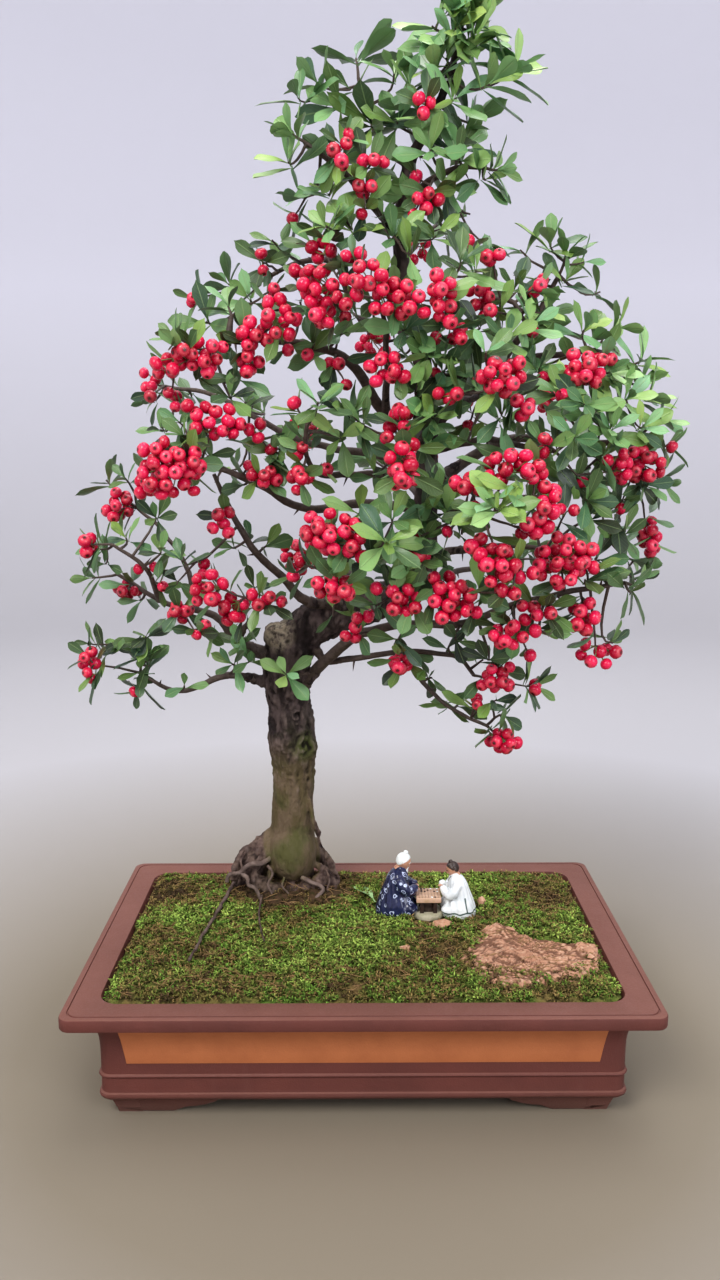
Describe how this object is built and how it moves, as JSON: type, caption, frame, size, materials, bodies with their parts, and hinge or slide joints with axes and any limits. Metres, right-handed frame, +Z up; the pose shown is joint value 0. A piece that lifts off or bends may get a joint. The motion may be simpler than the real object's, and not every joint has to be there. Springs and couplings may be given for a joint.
{
  "type": "pyracantha bonsai in a footed clay pot",
  "caption": "Old firethorn bonsai with a curved trunk, leafy sprays and red berries, in a long footed clay pot with moss and two small seated figures.",
  "frame": {"origin": "on the floor, under the middle of the pot", "axes": "+Z up along the tree, +X to the viewer's right along the pot's length, -Y towards the viewer, the tree's front"},
  "size_m": [0.456, 0.316, 0.7603],
  "materials": {
    "pot_clay": "unglazed, matte, purplish brown",
    "panel_glaze": "matte ochre",
    "mesh_plastic": "matte",
    "soil": "crumbly",
    "moss": "soft pile",
    "red_stone": "rough",
    "figure_blue": "glazed",
    "figure_white": "glazed",
    "board_clay": "matte",
    "bark": "rough bark",
    "berry": "waxy skin",
    "leaf": "leathery, half glossy"
  },
  "bodies": {
    "root": {"pot": "pot_clay", "panel_front": "panel_glaze", "panel_back": "panel_glaze", "drain_mesh_left": "mesh_plastic", "drain_mesh_right": "mesh_plastic", "soil": "soil", "moss_carpet": "moss", "stone_slab": "red_stone", "pebble_left": "red_stone", "pebble_mid": "red_stone", "pebble_back": "red_stone", "player_left": "figure_blue", "player_right": "figure_white", "board_table": "board_clay", "tree_wood": "bark", "bunch_01": "berry", "bunch_02": "berry", "bunch_03": "berry", "bunch_04": "berry", "bunch_05": "berry", "bunch_06": "berry", "bunch_07": "berry", "bunch_08": "berry", "bunch_09": "berry", "bunch_10": "berry", "bunch_11": "berry", "bunch_12": "berry", "bunch_13": "berry", "bunch_14": "berry", "bunch_15": "berry", "bunch_16": "berry", "bunch_17": "berry", "bunch_18": "berry", "bunch_19": "berry", "bunch_20": "berry", "bunch_21": "berry", "spray_01": "leaf", "spray_02": "leaf", "spray_03": "leaf", "spray_04": "leaf", "spray_05": "leaf", "spray_06": "leaf", "spray_07": "leaf", "spray_08": "leaf", "spray_09": "leaf", "spray_10": "leaf", "spray_11": "leaf", "spray_12": "leaf", "spray_13": "leaf", "spray_14": "leaf", "spray_15": "leaf", "spray_16": "leaf", "spray_17": "leaf", "spray_18": "leaf", "spray_19": "leaf", "spray_20": "leaf", "spray_21": "leaf"}
  },
  "joints": []
}
